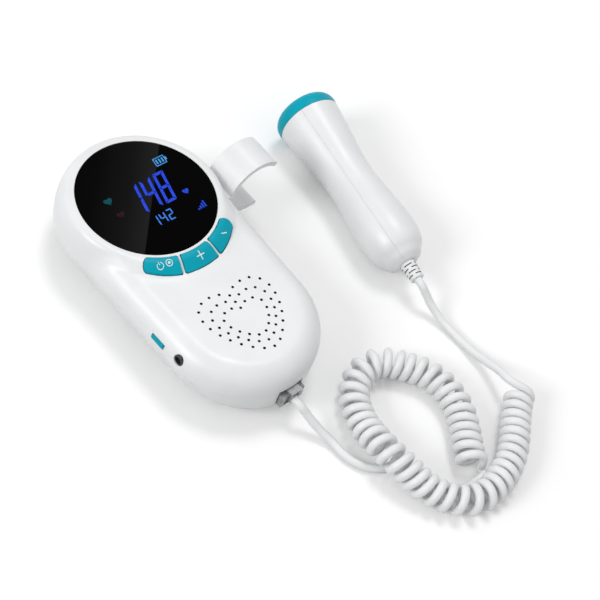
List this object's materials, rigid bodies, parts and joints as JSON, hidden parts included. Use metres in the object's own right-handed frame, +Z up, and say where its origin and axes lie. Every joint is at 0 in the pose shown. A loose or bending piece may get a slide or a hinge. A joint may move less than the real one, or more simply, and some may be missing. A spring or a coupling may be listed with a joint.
{
  "type": "fetal doppler monitor",
  "caption": "Handheld heart-rate monitor with a round display, arc buttons, a heart-shaped speaker grille and a side ring that holds an ultrasound probe on a curly cord.",
  "frame": {"origin": "centre of the unit's flat underside, where it rests on a table", "axes": "+Z up through the display, +Y toward the display end, +X toward the probe holder and the probe"},
  "size_m": [0.1547, 0.2205, 0.0393],
  "materials": {
    "shell_white": "satin moulded ABS",
    "lens_black": "polished black lens",
    "panel_black": "dark display panel",
    "diffuser_white": "matt",
    "board_green": "solder mask",
    "accent_teal": "satin moulded ABS",
    "rubber_teal": "matt rubber",
    "plastic_black": "matt",
    "steel": "plated",
    "battery_silver": "foil pouch",
    "ceramic": "fired ceramic",
    "cord_white": "satin soft plastic",
    "plug_grey": "clear grey moulding"
  },
  "bodies": {
    "unit": {"lower_shell": "shell_white", "upper_shell": "shell_white", "display_lens": "lens_black", "display_panel": "panel_black", "display_backlight": "diffuser_white", "display_frame": "diffuser_white", "main_board": "board_green", "switch_power": "plastic_black", "switch_plus": "plastic_black", "switch_minus": "plastic_black", "speaker_frame": "steel", "speaker_cone": "plastic_black", "charge_port": "steel", "headphone_jack": "plastic_black", "battery_pack": "battery_silver", "battery_connector": "plastic_black", "housing_screw_1": "steel", "housing_screw_2": "steel", "housing_screw_3": "steel", "housing_screw_4": "steel", "probe_socket": "plastic_black", "probe_holder": "shell_white", "cord_plug": "plug_grey", "cord_unit_tail": "cord_white", "curly_cord": "cord_white", "cord_probe_tail": "cord_white", "probe_strain_relief": "cord_white", "probe_shell_left": "shell_white", "probe_shell_right": "shell_white", "probe_cap": "accent_teal", "crystal_transmit": "ceramic", "crystal_receive": "ceramic", "transducer_backing": "plastic_black", "probe_board": "board_green"},
    "power_key": {"button_power": "accent_teal"},
    "plus_key": {"button_plus": "accent_teal"},
    "minus_key": {"button_minus": "accent_teal"},
    "battery_lid": {"battery_door": "shell_white"},
    "port_flap": {"port_cover": "rubber_teal"}
  },
  "joints": [
    {"name": "power_press", "type": "slide", "parent": "unit", "child": "power_key", "axis": [0, 0, -1], "range_m": [0, 0.0008], "stiffness_N_per_m": 1500},
    {"name": "plus_press", "type": "slide", "parent": "unit", "child": "plus_key", "axis": [0, 0, -1], "range_m": [0, 0.0008], "stiffness_N_per_m": 1500},
    {"name": "minus_press", "type": "slide", "parent": "unit", "child": "minus_key", "axis": [0, 0, -1], "range_m": [0, 0.0008], "stiffness_N_per_m": 1500},
    {"name": "battery_door_slide", "type": "slide", "parent": "unit", "child": "battery_lid", "axis": [0, 1, 0], "range_m": [0, 0.008]},
    {"name": "port_cover_hinge", "type": "hinge", "parent": "unit", "child": "port_flap", "pos_m": [-0.03497, -0.0198, 0.0221], "axis": [0, 0, -1], "range_deg": [0, 100]}
  ]
}
